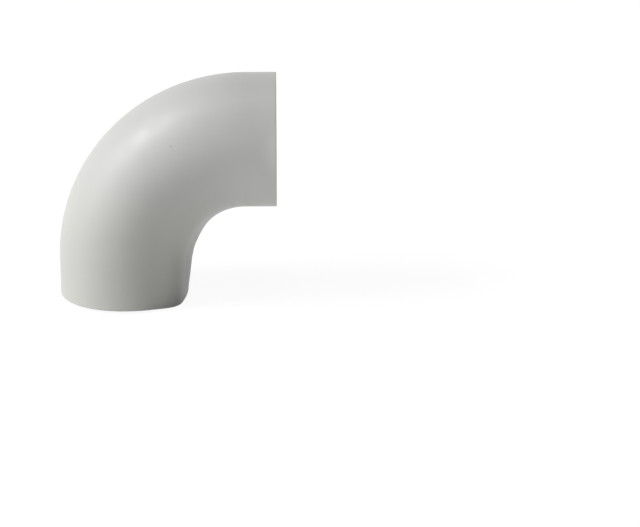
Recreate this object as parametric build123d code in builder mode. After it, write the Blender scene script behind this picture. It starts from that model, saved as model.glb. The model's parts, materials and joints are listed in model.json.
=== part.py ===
from build123d import *

import os
from math import cos, degrees, radians, sin

# Cover of thin PVC sheet for the bend of a round handrail, made in one piece.
#
# The sheet closes round the rail. Its two long edges meet along the throat, the inside of the
# bend, where a flap that comes round the front lies over the inner layer and ends on the back.
# The same rolled section runs through both straight legs and the bend between them.
#
# The origin is the centre of the lower mouth. +Z runs up the lower leg, +X out of the upper
# mouth, and the front, where the flap stands a little off the rail, faces -Y.

# Driving dimensions, in millimetres and degrees
rail_diameter = 50.0
rail_clearance = 0.2  # between the rail and the sheet, all round
sheet_thickness = 0.35
bend_radius = 47.0  # of the rail's centre line
bend_angle = 90.0
lower_leg = 14.0  # straight length before the bend
upper_leg = 12.0  # straight length after it
lap_width = 12.0  # of the two layers, measured round the rail and centred on the throat line
lap_gap = 0.15  # between the two layers
flap_leaves = 66.0  # where the flap leaves the round wall, before the throat line
flap_lands = 18.0  # where it comes down over the inner layer, before the throat line
flap_corner_radius = 12.0  # of the soft corner between the two, inside the sheet

# Sizes that follow from them
bore_radius = rail_diameter / 2 + rail_clearance
lap_bore_radius = bore_radius + sheet_thickness + lap_gap
half_lap = degrees(lap_width / 2 / bore_radius)
corner_turn = radians(flap_leaves - flap_lands)
bend_turn = radians(bend_angle)


def draw_sheet_face(outward):
    """Draw one face of the rolled sheet and return its two ends.

    The section's +X points to the throat and its +Y to the back. The line starts at the inner
    layer's free edge, goes round by the back, the heel and the front, and ends at the flap's.

    Args:
        outward: distance of the face from the sheet's inner face
    """
    wall_radius = bore_radius + outward
    lap_radius = lap_bore_radius + outward
    wall = CenterArc((0, 0), wall_radius, -half_lap, 360 - flap_leaves + half_lap)
    lap = CenterArc((0, 0), lap_radius, -flap_lands, flap_lands + half_lap)
    run_to_corner = (lap_radius - wall_radius * cos(corner_turn)) / sin(corner_turn)
    corner = wall @ 1 + (wall % 1) * run_to_corner
    FilletPolyline(wall @ 1, corner, lap @ 0, radius=flap_corner_radius + outward)
    return wall @ 0, lap @ 1


with BuildSketch() as rolled_sheet:
    with BuildLine():
        inner_layer_edge, flap_edge = draw_sheet_face(0)
        inner_layer_back, flap_back = draw_sheet_face(sheet_thickness)
        Line(inner_layer_edge, inner_layer_back)
        Line(flap_edge, flap_back)
    make_face()

# The lower leg runs up to the bend, and the upper leg goes on from the bend's far end
lower_mouth = Plane.XY
bend_start = lower_mouth.offset(lower_leg)
bend_axis = Axis((bend_radius, 0, lower_leg), (0, 1, 0))
bend_end = Plane(
    origin=(bend_radius * (1 - cos(bend_turn)), 0, lower_leg + bend_radius * sin(bend_turn)),
    x_dir=(cos(bend_turn), 0, -sin(bend_turn)),
    z_dir=(sin(bend_turn), 0, cos(bend_turn)),
)

with BuildPart() as bend_cover:
    with BuildSketch(lower_mouth):
        add(rolled_sheet.sketch)
    extrude(amount=lower_leg)
    with BuildSketch(bend_start):
        add(rolled_sheet.sketch)
    revolve(axis=bend_axis, revolution_arc=bend_angle)
    with BuildSketch(bend_end):
        add(rolled_sheet.sketch)
    extrude(amount=upper_leg)

bend_cover.part.label = "bend_cover"
os.makedirs("parts", exist_ok=True)
export_step(bend_cover.part, "parts/bend_cover.step")
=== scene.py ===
"""Visual model of the one-piece PVC cover for a handrail bend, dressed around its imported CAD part.

The cover is a thin sheet, rolled round the rail and lapped along the throat, the inside of the
bend. The sheet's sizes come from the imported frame. Lengths are in metres, and the row frame is
the CAD's: the origin in the lower mouth, +Z up the lower leg and +X out of the upper mouth.
"""

import json
import logging
import math
from dataclasses import dataclass
from enum import Enum

import bpy
import numpy as np
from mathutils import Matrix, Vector

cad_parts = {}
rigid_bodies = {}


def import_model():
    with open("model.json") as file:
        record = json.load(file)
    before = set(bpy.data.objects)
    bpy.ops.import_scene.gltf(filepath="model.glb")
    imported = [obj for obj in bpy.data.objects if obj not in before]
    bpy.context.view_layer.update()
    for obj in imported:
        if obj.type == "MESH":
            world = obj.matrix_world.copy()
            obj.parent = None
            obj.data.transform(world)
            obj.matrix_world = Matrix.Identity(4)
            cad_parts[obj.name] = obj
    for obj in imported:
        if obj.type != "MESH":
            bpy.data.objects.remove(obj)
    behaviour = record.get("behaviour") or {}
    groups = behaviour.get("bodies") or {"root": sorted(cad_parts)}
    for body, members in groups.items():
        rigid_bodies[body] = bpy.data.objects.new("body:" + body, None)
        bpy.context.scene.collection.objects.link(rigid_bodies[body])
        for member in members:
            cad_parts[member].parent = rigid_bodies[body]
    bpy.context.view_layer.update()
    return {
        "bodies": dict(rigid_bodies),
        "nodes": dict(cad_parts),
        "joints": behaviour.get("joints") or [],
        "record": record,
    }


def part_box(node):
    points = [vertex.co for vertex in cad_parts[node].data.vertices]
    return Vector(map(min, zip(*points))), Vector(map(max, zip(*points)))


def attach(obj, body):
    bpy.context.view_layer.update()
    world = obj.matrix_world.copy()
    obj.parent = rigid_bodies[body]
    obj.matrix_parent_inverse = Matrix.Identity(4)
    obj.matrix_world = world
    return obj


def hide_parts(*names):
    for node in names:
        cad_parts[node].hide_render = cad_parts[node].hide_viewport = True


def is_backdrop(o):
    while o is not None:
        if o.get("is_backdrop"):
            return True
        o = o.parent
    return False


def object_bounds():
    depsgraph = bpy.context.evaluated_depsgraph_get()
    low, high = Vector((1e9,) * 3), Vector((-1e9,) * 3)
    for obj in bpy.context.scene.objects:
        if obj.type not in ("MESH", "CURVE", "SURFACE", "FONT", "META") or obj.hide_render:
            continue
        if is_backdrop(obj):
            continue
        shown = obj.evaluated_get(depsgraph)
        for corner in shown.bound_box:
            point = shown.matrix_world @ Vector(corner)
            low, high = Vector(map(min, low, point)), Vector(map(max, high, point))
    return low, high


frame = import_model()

MM = 0.001
NODE = "bend_cover"
PIECE = NODE + "_sheet"
SLOT = "pvc_sheet"
BODY = "root"
EDGE_TINT = "cut_edge"

Quad = tuple[int, int, int, int]
Span = tuple[float, float]
Triple = tuple[float, float, float]
Socket = bpy.types.NodeSocket

log = logging.getLogger(NODE)


class Face(Enum):
    """The two faces of the sheet."""

    INNER = 0
    OUTER = 1


class Edge(Enum):
    """The two pairs of cut edges of the sheet."""

    ALONG_THE_LAP = 0
    AT_THE_MOUTHS = 1


class Pairing(Enum):
    """How two values become one, by the name that a Math node has for it."""

    PRODUCT = "MULTIPLY"
    LARGER = "MAXIMUM"


def smoothstep(share: np.ndarray) -> np.ndarray:
    """Ease from 0 to 1 without a corner at either end.

    Args:
        share: how far along the change each point is, below 0 or above 1 where it lies outside.

    Returns:
        The eased share, from 0 to 1.
    """
    held = np.clip(share, 0.0, 1.0)
    return held * held * (3.0 - 2.0 * held)


def bell(off: np.ndarray, spread: float) -> np.ndarray:
    """Swell smoothly to 1 about a place.

    Args:
        off: how far each point is from that place.
        spread: the distance at which the swell is at its steepest.

    Returns:
        The swell, from 0 to 1.
    """
    return np.exp(-0.5 * (off / spread) ** 2)


def half_turned(degrees: np.ndarray) -> np.ndarray:
    """Bring angles in degrees to the half turn either side of 0."""
    return (degrees + 180.0) % 360.0 - 180.0


def grey(level: float) -> tuple[float, float, float, float]:
    """Opaque grey of a level, as a shader's socket takes it."""
    return (level, level, level, 1.0)


@dataclass(frozen=True)
class RailLine:
    """Centre line of the rail: up the lower leg, round the bend and out along the upper leg."""

    lower_leg: float
    bend_radius: float
    upper_leg: float
    bend_turn: float = math.pi / 2

    @classmethod
    def from_record(cls, record: dict) -> "RailLine":
        """Read the line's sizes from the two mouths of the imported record.

        Args:
            record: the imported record.

        Returns:
            The rail's centre line.
        """
        mouths = {mount["name"]: mount for mount in record["mounts"]}
        upper_leg = mouths["upper_mouth"]["dims"]["length_mm"] * MM
        return cls(
            lower_leg=mouths["lower_mouth"]["dims"]["length_mm"] * MM,
            bend_radius=mouths["upper_mouth"]["pos_m"][0] - upper_leg,
            upper_leg=upper_leg,
        )

    @property
    def bend_length(self) -> float:
        """Length of the centre line round the bend."""
        return self.bend_radius * self.bend_turn

    @property
    def length(self) -> float:
        """Length of the centre line from mouth to mouth."""
        return self.lower_leg + self.bend_length + self.upper_leg

    def turned(self, run: np.ndarray) -> np.ndarray:
        """Angle that the line has turned through.

        Args:
            run: distance along the line from the lower mouth.

        Returns:
            The angle in radians at each distance.
        """
        return np.clip((run - self.lower_leg) / self.bend_radius, 0.0, self.bend_turn)

    def centre(self, run: np.ndarray) -> np.ndarray:
        """Points of the centre line.

        Args:
            run: distance along the line from the lower mouth.

        Returns:
            A point for each distance, in the last axis.
        """
        turn = self.turned(run)
        before = np.minimum(run, self.lower_leg)
        after = np.maximum(run - self.lower_leg - self.bend_length, 0.0)
        across = self.bend_radius * (1.0 - np.cos(turn)) + after * np.sin(self.bend_turn)
        up = before + self.bend_radius * np.sin(turn) + after * np.cos(self.bend_turn)
        return np.stack([across, np.zeros_like(run), up], axis=-1)

    def to_throat(self, run: np.ndarray) -> np.ndarray:
        """Directions from the centre line to the throat of the bend.

        Args:
            run: distance along the line from the lower mouth.

        Returns:
            A unit vector for each distance, in the last axis.
        """
        turn = self.turned(run)
        return np.stack([np.cos(turn), np.zeros_like(run), -np.sin(turn)], axis=-1)


@dataclass(frozen=True)
class LappedSection:
    """Inner face of the rolled sheet, square to the rail.

    Polar angles are in degrees from the throat line, positive to the back. They run on without
    a jump from the inner layer's cut edge, a whole turn before the throat, to the flap's.
    """

    bore_radius: float
    sheet_thickness: float
    lap_width: float = 12.0 * MM
    lap_gap: float = 0.15 * MM
    flap_leaves: float = 66.0
    flap_lands: float = 18.0
    flap_corner_radius: float = 12.0 * MM
    soft_length: float = 5.0 * MM
    drawing_step: float = 0.05 * MM

    @property
    def lap_radius(self) -> float:
        """Inner radius of the flap where it lies on the inner layer."""
        return self.bore_radius + self.sheet_thickness + self.lap_gap

    @property
    def half_lap(self) -> float:
        """Half of the lap's width as an angle in radians."""
        return self.lap_width / 2 / self.bore_radius

    def runs(self) -> list[tuple[float, float]]:
        """Length and curvature of each stretch of the face.

        Returns:
            The round wall, the flap's first flat, its soft corner, its second flat and the lap.
        """
        corner_turn = math.radians(self.flap_leaves - self.flap_lands)
        corner_tangent = self.flap_corner_radius * math.tan(corner_turn / 2)
        to_corner = (self.lap_radius - self.bore_radius * math.cos(corner_turn)) / math.sin(corner_turn)
        to_lap = (self.bore_radius - self.lap_radius * math.cos(corner_turn)) / math.sin(corner_turn)
        wall_turn = 2 * math.pi - math.radians(self.flap_leaves) + self.half_lap
        lap_turn = math.radians(self.flap_lands) + self.half_lap
        return [
            (self.bore_radius * wall_turn, 1 / self.bore_radius),
            (to_corner - corner_tangent, 0.0),
            (self.flap_corner_radius * corner_turn, 1 / self.flap_corner_radius),
            (to_lap - corner_tangent, 0.0),
            (self.lap_radius * lap_turn, 1 / self.lap_radius),
        ]

    def draw(self) -> tuple[np.ndarray, np.ndarray]:
        """Lay the face off step by step, with its curvature eased as a springy sheet takes it.

        Returns:
            The polar angle in degrees and the radius at each step along the sheet.
        """
        lengths, curvatures = zip(*self.runs())
        along = np.arange(0.0, sum(lengths), self.drawing_step)
        ends = np.cumsum(lengths)[:-1]
        curvature = np.array(curvatures)[np.searchsorted(ends, along)]
        half_window = int(self.soft_length / self.drawing_step) // 2
        # The window is 0 at both ends, so it is made two steps longer and they come off
        window = np.hanning(2 * half_window + 3)[1:-1]
        padded = np.pad(curvature, half_window, mode="edge")
        eased = np.convolve(padded, window / window.sum(), mode="valid")
        start = -2 * math.pi - self.half_lap
        heading = start + math.pi / 2 + np.cumsum(eased) * self.drawing_step
        x = self.bore_radius * math.cos(start) + np.cumsum(np.cos(heading)) * self.drawing_step
        y = self.bore_radius * math.sin(start) + np.cumsum(np.sin(heading)) * self.drawing_step
        polar = np.unwrap(np.arctan2(y, x))
        polar += start - polar[0]
        return np.degrees(polar), np.hypot(x, y)

    @property
    def width(self) -> float:
        """Developed width of the sheet, from cut edge to cut edge round the section."""
        return (len(self.draw()[0]) - 1) * self.drawing_step

    def at(self, around: np.ndarray) -> tuple[np.ndarray, np.ndarray]:
        """Find places on the face.

        Args:
            around: distance round the section from the inner layer's cut edge.

        Returns:
            The polar angle in degrees and the radius at each place.
        """
        polar, radius = self.draw()
        along = np.arange(len(polar)) * self.drawing_step
        return np.interp(around, along, polar), np.interp(around, along, radius)


@dataclass(frozen=True)
class Wave:
    """One wave of the sheet's faint unevenness."""

    round_turns: float
    along_turns: float
    start: float


@dataclass(frozen=True)
class RelaxedForm:
    """How the sheet at rest leaves its drawn form: small, smooth, and most along the throat.

    The lap draws in a little at the lower mouth, and stands off a little inside the bend. The
    lower cut hangs a little where the flap comes over the inner layer, the upper mouth flares a
    little at the front, and the faces are very faintly uneven. Angles are polar, in degrees.
    """

    draws_in: float = 1.97 * MM
    draws_in_over: float = 17.5 * MM
    draws_in_power: float = 1.3
    stands_off: float = 0.93 * MM
    stands_off_at: float = 36.3 * MM
    stands_off_over: float = 12.0 * MM
    centred_at: float = -4.1
    spread: float = 21.1
    hangs: float = 1.12 * MM
    hangs_at: float = -26.4
    hangs_over: float = 25.0
    hang_fades: float = 14.0 * MM
    flares: float = 0.3 * MM
    flares_over: float = 6.0 * MM
    flares_at: float = -92.0
    flare_spread: float = 22.0
    ripple_height: float = 0.03 * MM
    ripple_length: float = 10.0 * MM
    ripples: tuple[Wave, ...] = (Wave(2.0, 1.3, 0.0), Wave(3.0, -0.9, 1.7), Wave(5.0, 0.5, 0.4))

    def at_throat(self, polar: np.ndarray, run: np.ndarray) -> np.ndarray:
        """Radial distance that the sheet has moved along the throat.

        Args:
            polar: polar angle, as the section counts it.
            run: distance along the rail's line.

        Returns:
            The distance, positive away from the rail.
        """
        left = np.clip(1.0 - run / self.draws_in_over, 0.0, 1.0)
        drawn_in = self.draws_in * left**self.draws_in_power
        off = self.stands_off * bell(run - self.stands_off_at, self.stands_off_over)
        return (off - drawn_in) * bell(half_turned(polar - self.centred_at), self.spread)

    def flare(self, polar: np.ndarray, from_end: np.ndarray) -> np.ndarray:
        """Radial distance that the sheet springs outward at the front of the upper mouth.

        Args:
            polar: polar angle.
            from_end: distance along the rail's line back from the mouth.

        Returns:
            The distance, steepest at the cut edge itself.
        """
        at_front = bell(half_turned(polar - self.flares_at), self.flare_spread)
        return self.flares * at_front * np.clip(1.0 - from_end / self.flares_over, 0.0, None) ** 2

    def below_cut(self, polar: np.ndarray, run: np.ndarray) -> np.ndarray:
        """Distance that the sheet has slid down the lower leg.

        Args:
            polar: polar angle.
            run: distance along the rail's line.

        Returns:
            The distance, most at the lower cut and none beyond the straight leg.
        """
        near_flap = bell(half_turned(polar - self.hangs_at), self.hangs_over)
        return self.hangs * near_flap * (1.0 - smoothstep(run / self.hang_fades))

    def ripple(self, polar: np.ndarray, run: np.ndarray) -> np.ndarray:
        """Faint unevenness of a formed sheet, a few centimetres from crest to crest.

        Args:
            polar: polar angle.
            run: distance along the rail's line.

        Returns:
            The distance outward.
        """
        turn, length = np.radians(polar), run / self.ripple_length
        heights = [
            np.sin(wave.round_turns * turn + wave.along_turns * length + wave.start)
            for wave in self.ripples
        ]
        return self.ripple_height * sum(heights) / len(heights)


@dataclass(frozen=True)
class CoverSheet:
    """The rolled sheet as one closed mesh with both faces and softly broken cut edges."""

    line: RailLine
    section: LappedSection
    form: RelaxedForm
    mesh_pitch: float = 0.8 * MM
    edge_radius: float = 0.1 * MM
    round_angles: tuple[float, ...] = (0.0, 30.0, 60.0, 90.0)
    edge_tint_width: float = 0.45 * MM
    normal_step: float = 0.3 * MM

    def stations(self, length: float) -> np.ndarray:
        """Mesh lines across one direction of the sheet, closer where the cut edge is rounded.

        Args:
            length: the sheet's length that way.

        Returns:
            Distances from one cut edge to the other.
        """
        round_steps = self.edge_radius * (1.0 - np.cos(np.radians(self.round_angles)))
        inside = length - 2 * self.edge_radius
        count = max(2, round(inside / self.mesh_pitch))
        middle = self.edge_radius + inside * np.arange(1, count) / count
        return np.concatenate([round_steps, middle, length - round_steps[::-1]])

    def inner_face(self, around: np.ndarray, run: np.ndarray) -> np.ndarray:
        """Points of the sheet's inner face.

        Args:
            around: distance round the section from the inner layer's cut edge.
            run: distance along the rail's line.

        Returns:
            A point for each pair, in the last axis.
        """
        angle, reach = self.section.at(around)
        run = run - self.form.below_cut(angle, run)
        reach = reach + self.form.at_throat(angle, run) + self.form.ripple(angle, run)
        reach = reach + self.form.flare(angle, self.line.length - run)
        turn = np.radians(angle)
        out = self.line.to_throat(run)
        back = np.array([0.0, 1.0, 0.0])
        across = (reach * np.cos(turn))[..., None] * out + (reach * np.sin(turn))[..., None] * back
        return self.line.centre(run) + across

    def outward(self, around: np.ndarray, run: np.ndarray) -> np.ndarray:
        """Unit normals of the sheet, away from the rail.

        Args:
            around: distance round the section from the inner layer's cut edge.
            run: distance along the rail's line.

        Returns:
            A unit vector for each pair, in the last axis.
        """
        before = np.clip(around - self.normal_step, 0.0, self.section.width)
        after = np.clip(around + self.normal_step, 0.0, self.section.width)
        lower, upper = run - self.normal_step, run + self.normal_step
        round_way = self.inner_face(after, run) - self.inner_face(before, run)
        long_way = self.inner_face(around, upper) - self.inner_face(around, lower)
        normal = np.cross(round_way, long_way)
        return normal / np.linalg.norm(normal, axis=-1, keepdims=True)

    def face_offset(self, face: Face, from_edge: np.ndarray) -> np.ndarray:
        """Distance of a face from the sheet's inner face, with the rounding at the cut edges.

        Args:
            face: which face.
            from_edge: distance of each point from the nearest cut edge.

        Returns:
            The distance outward.
        """
        into_round = np.clip(1.0 - from_edge / self.edge_radius, 0.0, 1.0)
        drop = self.edge_radius * (1.0 - np.sqrt(1.0 - into_round**2))
        if face is Face.INNER:
            return drop
        return self.section.sheet_thickness - drop

    def faces(self, rows: int, columns: int) -> list[Quad]:
        """Vertex numbers of every quad: the outer face, the inner face and the four cut edges.

        Args:
            rows: mesh lines round the section.
            columns: mesh lines along the rail.

        Returns:
            The quads, turned outward.
        """
        grid = np.arange(rows * columns).reshape(rows, columns)
        inner, outer = grid, grid + rows * columns
        quads: list[Quad] = []
        for layer, flip in ((outer, False), (inner, True)):
            corners = [layer[:-1, :-1], layer[1:, :-1], layer[1:, 1:], layer[:-1, 1:]]
            ordered = corners[::-1] if flip else corners
            quads += np.stack([corner.ravel() for corner in ordered], axis=-1).tolist()
        for edge in Edge:
            for end in (0, -1):
                quads += self.cut_edge(inner, outer, edge, end)
        return quads

    @staticmethod
    def cut_edge(inner: np.ndarray, outer: np.ndarray, edge: Edge, end: int) -> list[Quad]:
        """Quads that close one cut edge between the two faces.

        Args:
            inner: vertex numbers of the inner face.
            outer: vertex numbers of the outer face.
            edge: which pair of edges.
            end: 0 for the first edge of the pair, -1 for the last.

        Returns:
            The quads, turned outward.
        """
        if edge is Edge.ALONG_THE_LAP:
            low, high = inner[end], outer[end]
        else:
            low, high = inner[:, end], outer[:, end]
        quads = np.stack([low[:-1], low[1:], high[1:], high[:-1]], axis=-1)
        flipped = (edge is Edge.ALONG_THE_LAP) == (end == 0)
        return (quads[:, ::-1] if flipped else quads).tolist()

    def build(self) -> bpy.types.Object:
        """Make the mesh and its object.

        Returns:
            The sheet, at the origin, with its place in its mesh.
        """
        width, length = self.section.width, self.line.length
        around, run = np.meshgrid(self.stations(width), self.stations(length), indexing="ij")
        from_edge = np.minimum(np.minimum(around, width - around), np.minimum(run, length - run))
        base, normal = self.inner_face(around, run), self.outward(around, run)
        layers = [base + self.face_offset(face, from_edge)[..., None] * normal for face in Face]
        points = np.concatenate([layer.reshape(-1, 3) for layer in layers])
        mesh = bpy.data.meshes.new(PIECE)
        mesh.from_pydata(points.tolist(), [], self.faces(*around.shape))
        mesh.shade_smooth()
        tint = mesh.attributes.new(EDGE_TINT, "FLOAT", "POINT")
        nearness = 1.0 - smoothstep(from_edge / self.edge_tint_width)
        tint.data.foreach_set("value", np.tile(nearness.ravel(), len(Face)).astype(np.float32))
        sheet = bpy.data.objects.new(PIECE, mesh)
        bpy.context.scene.collection.objects.link(sheet)
        return sheet


@dataclass(frozen=True)
class NodeBench:
    """The nodes of one finish or of the world, and the steps that they are put together from."""

    tree: bpy.types.NodeTree

    def add(self, kind: str) -> bpy.types.Node:
        """Add a node of a kind, which is its type's name after ShaderNode."""
        return self.tree.nodes.new("ShaderNode" + kind)

    def link(self, source: Socket, target: Socket) -> None:
        """Link an output to an input."""
        self.tree.links.new(source, target)

    def place(self) -> Socket:
        """Add the object's own coordinates."""
        return self.add("TexCoord").outputs["Object"]

    def noise(self, place: Socket, scale: float, detail: float) -> Socket:
        """Add a soft noise fixed to the object.

        Args:
            place: the object's own coordinates.
            scale: bumps to the metre.
            detail: how many finer noises are laid over it.

        Returns:
            The noise, about 0.5 on average.
        """
        node = self.add("TexNoise")
        node.inputs["Scale"].default_value = scale
        node.inputs["Detail"].default_value = detail
        self.link(place, node.inputs["Vector"])
        return node.outputs["Fac"]

    def eased(self, value: Socket, source: Span, target: Span) -> Socket:
        """Spread a value over another range, without a corner at either end.

        Args:
            value: what is spread.
            source: the two ends of the value's own range.
            target: what those ends become.

        Returns:
            The spread value, held inside the target.
        """
        node = self.add("MapRange")
        node.interpolation_type = "SMOOTHSTEP"
        node.inputs["From Min"].default_value, node.inputs["From Max"].default_value = source
        node.inputs["To Min"].default_value, node.inputs["To Max"].default_value = target
        self.link(value, node.inputs["Value"])
        return node.outputs["Result"]

    def paired(self, pairing: Pairing, first: Socket, second: Socket) -> Socket:
        """Make two values one.

        Args:
            pairing: how.
            first: one value.
            second: the other.

        Returns:
            The value that they make.
        """
        node = self.add("Math")
        node.operation = pairing.value
        self.link(first, node.inputs[0])
        self.link(second, node.inputs[1])
        return node.outputs["Value"]

    def away_from(self, point: Triple, place: Socket) -> Socket:
        """Measure how far a place is from a point.

        Args:
            point: the point, in the object's own coordinates.
            place: the object's own coordinates.

        Returns:
            The distance.
        """
        node = self.add("VectorMath")
        node.operation = "DISTANCE"
        node.inputs[1].default_value = point
        self.link(place, node.inputs[0])
        return node.outputs["Value"]

    def between(self, low: Triple, high: Triple, share: Socket) -> Socket:
        """Mix two colours.

        Args:
            low: the colour where the share is 0.
            high: the colour where it is 1.
            share: how much of the second there is.

        Returns:
            The mixed colour.
        """
        node = self.add("Mix")
        node.data_type = "VECTOR"
        first, second = (at for at in node.inputs if at.type == "VECTOR" and at.name in ("A", "B"))
        first.default_value, second.default_value = low, high
        self.link(share, node.inputs["Factor"])
        return next(at for at in node.outputs if at.type == "VECTOR")

    def scaled(self, colour: Socket, by: Socket) -> Socket:
        """Lighten or darken a colour.

        Args:
            colour: the colour.
            by: what it is multiplied by.

        Returns:
            The new colour.
        """
        node = self.add("VectorMath")
        node.operation = "SCALE"
        self.link(colour, node.inputs[0])
        self.link(by, node.inputs["Scale"])
        return node.outputs["Vector"]

    def seen(self) -> Socket:
        """Add a switch that is 1 where a ray is seen straight, in a gloss or through glass.

        Returns:
            The switch.
        """
        path = self.add("LightPath")
        switch = path.outputs["Is Camera Ray"]
        for ray in ("Is Glossy Ray", "Is Transmission Ray"):
            switch = self.paired(Pairing.LARGER, switch, path.outputs[ray])
        return switch


@dataclass(frozen=True)
class Spot:
    """A spot of changed colour: a darker speck, or, where darkness is below 0, a paler patch that is painted
    light.
    """

    place: Triple
    radius: float
    darkness: float
    solid_share: float = 0.2


@dataclass(frozen=True)
class SatinPvc:
    """Finish of calendered grey PVC sheet: a satin face with a fine, even grain."""

    colour: Triple = (0.62, 0.62, 0.608)
    low_colour: Triple = (0.62, 0.626, 0.589)
    drifts_between: Span = (30.0 * MM, 58.0 * MM)
    colour_shift: float = 0.018
    mottle_scale: float = 38.0
    mottle_detail: float = 3.0
    roughness: float = 0.45
    roughness_shift: float = 0.05
    sheen_scale: float = 152.0
    sheen_detail: float = 4.0
    cloud_range: Span = (0.3, 0.7)
    refraction: float = 1.53
    grain_size: float = 0.45 * MM
    grain_height: float = 0.004 * MM
    grain_detail: float = 2.0
    cut_edge_shade: float = 0.96
    speck_and_painted_light: tuple[Spot, ...] = (
        Spot((0.0195, -0.0232, 0.0647), 0.75 * MM, 0.16),
        # Painted light: a paler patch at the front of the upper mouth that paints in a brightening near the
        # cut end.
        Spot((0.0620, -0.0250, 0.0620), 11.0 * MM, -0.09, solid_share=0.3),
    )

    def material(self) -> bpy.types.Material:
        """Build the node material.

        Returns:
            The finished material.
        """
        made = bpy.data.materials.new(SLOT)
        made.use_nodes = True
        bench = NodeBench(made.node_tree)
        shader = made.node_tree.nodes["Principled BSDF"]
        place = bench.place()
        shader.inputs["IOR"].default_value = self.refraction
        bench.link(self.tinted(bench, place), shader.inputs["Base Color"])
        bench.link(self.sheen_spread(bench, place), shader.inputs["Roughness"])
        bench.link(self.grain(bench, place), shader.inputs["Normal"])
        return made

    def tinted(self, bench: NodeBench, place: Socket) -> Socket:
        """Colour of the sheet: cloudy by a percent or two, darker at cut edges, with a dark speck, and with
        painted light as a paler patch at the front of the upper mouth.

        Args:
            bench: the material's nodes.
            place: the object's own coordinates.

        Returns:
            The colour.
        """
        cloud = bench.noise(place, self.mottle_scale, self.mottle_detail)
        shade = bench.eased(cloud, self.cloud_range, (1.0 - self.colour_shift, 1.0 + self.colour_shift))
        near_edge = bench.add("Attribute")
        near_edge.attribute_name = EDGE_TINT
        edge_shade = bench.eased(near_edge.outputs["Fac"], (0.0, 1.0), (1.0, self.cut_edge_shade))
        shade = bench.paired(Pairing.PRODUCT, shade, edge_shade)
        # The first spot is a dark speck in the sheet; the second is painted light, a paler patch near the
        # upper mouth.
        for spot in self.speck_and_painted_light:
            reach = (spot.solid_share * spot.radius, spot.radius)
            away = bench.away_from(spot.place, place)
            shade = bench.paired(Pairing.PRODUCT, shade, bench.eased(away, reach, (1.0 - spot.darkness, 1.0)))
        return bench.scaled(self.drifted(bench, place), shade)

    def drifted(self, bench: NodeBench, place: Socket) -> Socket:
        """Colour of the sheet before its shading, a little yellower down the lower leg.

        Args:
            bench: the material's nodes.
            place: the object's own coordinates.

        Returns:
            The colour.
        """
        height = bench.add("SeparateXYZ")
        bench.link(place, height.inputs["Vector"])
        up = bench.eased(height.outputs["Z"], self.drifts_between, (0.0, 1.0))
        return bench.between(self.low_colour, self.colour, up)

    def sheen_spread(self, bench: NodeBench, place: Socket) -> Socket:
        """Roughness of the satin face, a little uneven.

        Args:
            bench: the material's nodes.
            place: the object's own coordinates.

        Returns:
            The roughness.
        """
        cloud = bench.noise(place, self.sheen_scale, self.sheen_detail)
        spread = (self.roughness - self.roughness_shift, self.roughness + self.roughness_shift)
        return bench.eased(cloud, self.cloud_range, spread)

    def grain(self, bench: NodeBench, place: Socket) -> Socket:
        """Fine grain that rollers leave on the sheet.

        Args:
            bench: the material's nodes.
            place: the object's own coordinates.

        Returns:
            The bumped normal.
        """
        bump = bench.add("Bump")
        bump.inputs["Distance"].default_value = self.grain_height
        bench.link(bench.noise(place, 1.0 / self.grain_size, self.grain_detail), bump.inputs["Height"])
        return bump.outputs["Normal"]


@dataclass(frozen=True)
class HandrailBendCover:
    """The whole object: one rolled sheet in its finish."""

    sheet: CoverSheet
    finish: SatinPvc

    @classmethod
    def from_frame(cls, loaded: dict) -> "HandrailBendCover":
        """Take the cover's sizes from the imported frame.

        Args:
            loaded: what the frame's loading returned.

        Returns:
            The cover, ready to build.
        """
        record = loaded["record"]
        bore_radius = record["mounts"][0]["dims"]["r_mm"] * MM
        lowest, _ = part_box(NODE)
        section = LappedSection(bore_radius=bore_radius, sheet_thickness=-lowest.x - bore_radius)
        line = RailLine.from_record(record)
        return cls(sheet=CoverSheet(line=line, section=section, form=RelaxedForm()), finish=SatinPvc())

    def build(self) -> bpy.types.Object:
        """Build the sheet, dress it and set it on the CAD body in its node's place.

        Returns:
            The finished piece.
        """
        piece = self.sheet.build()
        piece.data.materials.append(self.finish.material())
        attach(piece, BODY)
        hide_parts(NODE)
        return piece


def soft_light(name: str, width: float, depth: float, power: float) -> bpy.types.Object:
    """Make a rectangular lamp that the camera doesn't see.

    Args:
        name: the lamp's name.
        width: its width.
        depth: its other side.
        power: its power in watts.

    Returns:
        The lamp, not yet in its place.
    """
    lamp = bpy.data.lights.new(name, "AREA")
    lamp.shape = "RECTANGLE"
    lamp.size, lamp.size_y = width, depth
    lamp.energy = power
    hung = bpy.data.objects.new(name, lamp)
    hung.visible_camera = False
    bpy.context.scene.collection.objects.link(hung)
    return hung


@dataclass(frozen=True)
class SoftBox:
    """A studio lamp with a diffusing front.

    Its bearing is in degrees from the front, negative to the left, and its height in degrees
    above the level of the object.
    """

    name: str
    bearing: float
    height: float
    power: float
    width: float = 1.0
    tall: float = 1.0
    distance: float = 2.2

    def build(self, target: Vector) -> bpy.types.Object:
        """Hang the lamp and turn it to the object.

        Args:
            target: the point that it faces.

        Returns:
            The lamp.
        """
        hung = soft_light(self.name, self.width, self.tall, self.power)
        turn, rise = math.radians(self.bearing), math.radians(self.height)
        level = math.cos(rise)
        away = Vector((math.sin(turn) * level, -math.cos(turn) * level, math.sin(rise)))
        hung.location = target + away * self.distance
        hung.rotation_euler = away.to_track_quat("Z", "Y").to_euler()
        return hung


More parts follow.
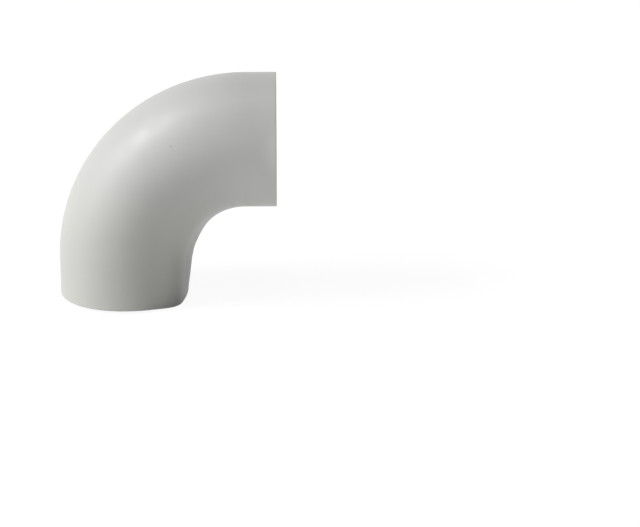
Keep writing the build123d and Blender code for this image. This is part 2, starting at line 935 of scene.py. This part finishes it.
@dataclass(frozen=True)
class BounceCard:
    """A low soft light beside the object, lying on the floor and facing up."""

    name: str
    middle: Span
    width: float
    depth: float
    power: float

    def build(self, lowest: float) -> bpy.types.Object:
        """Lay the light in its place.

        Args:
            lowest: height of the object's lowest point.

        Returns:
            The lamp.
        """
        card = soft_light(self.name, self.width, self.depth, self.power)
        card.location = (*self.middle, lowest)
        # A lamp shines down its own -Z, so half a turn about X makes it shine up
        card.rotation_euler = (math.pi, 0.0, 0.0)
        return card


@dataclass(frozen=True)
class WhiteRoom:
    """The plain pale floor and the white beyond it.

    The floor is white to look at, less the object's shadow. As a reflector of light it is a
    shade darker, and a little darker again close under the throat.
    """

    half_width: float = 3.0
    floor_drop: float = 0.2 * MM
    floor_albedo: float = 0.85
    throat_albedo: float = 0.51
    throat_place: Triple = (0.045, -0.010, 0.0)
    throat_reach: Span = (20.0 * MM, 50.0 * MM)
    shadow_albedo: float = 0.15
    middle: Triple = (0.0, 0.0, 0.0)
    lift: Span = (0.93, 1.0)
    lift_rises: Span = (0.25, 1.2)

    def build_world(self) -> None:
        """Make the world white to look at, and no lamp of its own."""
        world = bpy.data.worlds.new("white_room")
        world.use_nodes = True
        bench = NodeBench(world.node_tree)
        background = world.node_tree.nodes["Background"]
        background.inputs["Color"].default_value = grey(1.0)
        bench.link(bench.seen(), background.inputs["Strength"])
        world.cycles.sampling_method = "NONE"
        bpy.context.scene.world = world

    def build_floor(self, lowest: float) -> bpy.types.Object:
        """Lay the floor under the object.

        Args:
            lowest: height of the object's lowest point.

        Returns:
            The floor, which isn't part of the object.
        """
        reach, level = self.half_width, lowest - self.floor_drop
        turns = ((-1, -1), (1, -1), (1, 1), (-1, 1))
        corners = [(reach * across, reach * deep, level) for across, deep in turns]
        mesh = bpy.data.meshes.new("studio_floor")
        mesh.from_pydata(corners, [], [(0, 1, 2, 3)])
        mesh.materials.append(self.floor_material())
        floor = bpy.data.objects.new("studio_floor", mesh)
        bpy.context.scene.collection.objects.link(floor)
        floor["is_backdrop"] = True
        return floor

    def floor_material(self) -> bpy.types.Material:
        """Make the floor's finish: white to look at, with the object's shadow kept.

        Returns:
            The material.
        """
        made = bpy.data.materials.new("studio_floor")
        made.use_nodes = True
        nodes = made.node_tree.nodes
        nodes.remove(nodes["Principled BSDF"])
        bench = NodeBench(made.node_tree)
        choice = bench.add("MixShader")
        bench.link(bench.seen(), choice.inputs["Fac"])
        bench.link(self.reflecting(bench), choice.inputs[1])
        bench.link(self.shown(bench), choice.inputs[2])
        bench.link(choice.outputs["Shader"], nodes["Material Output"].inputs["Surface"])
        made.cycles.emission_sampling = "NONE"
        return made

    def reflecting(self, bench: NodeBench) -> Socket:
        """Add the floor as it throws light back, which is less close under the throat.

        Args:
            bench: the floor's nodes.

        Returns:
            The shader.
        """
        away = bench.away_from(self.throat_place, bench.place())
        matt = bench.add("BsdfDiffuse")
        share = bench.eased(away, self.throat_reach, (self.throat_albedo, self.floor_albedo))
        bench.link(share, matt.inputs["Color"])
        return matt.outputs["BSDF"]

    def shown(self, bench: NodeBench) -> Socket:
        """Add the floor as it is seen: white by itself, more so away from the object.

        Args:
            bench: the floor's nodes.

        Returns:
            The shader, which keeps a faint shadow.
        """
        shaded = bench.add("BsdfDiffuse")
        shaded.inputs["Color"].default_value = grey(self.shadow_albedo)
        whiteness = bench.add("Emission")
        away = bench.away_from(self.middle, bench.place())
        bench.link(bench.eased(away, self.lift_rises, self.lift), whiteness.inputs["Strength"])
        both = bench.add("AddShader")
        bench.link(shaded.outputs["BSDF"], both.inputs[0])
        bench.link(whiteness.outputs["Emission"], both.inputs[1])
        return both.outputs["Shader"]


@dataclass(frozen=True)
class PhotoCamera:
    """A long lens that looks down on the bend from the front. Its angles are in degrees."""

    place: Triple = (0.0601, -0.9237, 0.3270)
    looks_down: float = 18.93
    looks_right: float = 0.968
    lens_mm: float = 140.625
    sensor_mm: float = 36.0

    def build(self) -> bpy.types.Object:
        """Set the camera up and make it the scene's own.

        Returns:
            The camera.
        """
        data = bpy.data.cameras.new("photo_camera")
        data.lens = self.lens_mm
        data.sensor_width = self.sensor_mm
        camera = bpy.data.objects.new("photo_camera", data)
        camera.location = self.place
        camera.rotation_euler = (math.radians(90.0 - self.looks_down), 0.0, math.radians(-self.looks_right))
        bpy.context.scene.collection.objects.link(camera)
        bpy.context.scene.camera = camera
        return camera


@dataclass(frozen=True)
class Studio:
    """The room, its lamps and the camera."""

    room: WhiteRoom = WhiteRoom()
    camera: PhotoCamera = PhotoCamera()
    lamps: tuple[SoftBox, ...] = (
        SoftBox("key_softbox", bearing=-80.0, height=40.0, power=25.4),
        SoftBox("key_high_softbox", bearing=-80.0, height=55.0, power=7.1),
        SoftBox("key_low_softbox", bearing=-80.0, height=5.0, power=7.7),
        SoftBox("front_softbox", bearing=-55.0, height=30.0, power=6.8),
        SoftBox("front_low_softbox", bearing=-45.0, height=3.0, power=4.6),
        SoftBox("top_softbox", bearing=0.0, height=85.0, power=5.3),
        SoftBox("back_softbox", bearing=150.0, height=30.0, power=4.0, width=1.5, tall=1.5),
    )
    cards: tuple[BounceCard, ...] = (
        BounceCard("wide_bounce_card", middle=(0.20, 0.0), width=0.20, depth=0.60, power=0.24),
        BounceCard("near_bounce_card", middle=(0.08, -0.07), width=0.08, depth=0.10, power=0.005),
    )

    def build(self, lowest: Vector, highest: Vector) -> None:
        """Build everything round the object.

        Args:
            lowest: the lowest corner of the object's box.
            highest: its highest corner.
        """
        self.room.build_world()
        self.room.build_floor(lowest.z)
        for lamp in self.lamps:
            lamp.build((lowest + highest) / 2)
        for card in self.cards:
            card.build(lowest.z)
        self.camera.build()
        bpy.context.scene.view_settings.view_transform = "Standard"


def main() -> None:
    """Build the cover and its studio, and report each piece."""
    logging.basicConfig(level=logging.INFO, format="%(name)s: %(message)s")
    piece = HandrailBendCover.from_frame(frame).build()
    log.info("%s: %d quads", piece.name, len(piece.data.polygons))
    Studio().build(*(Vector(corner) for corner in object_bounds()))


if __name__ == "__main__":
    main()
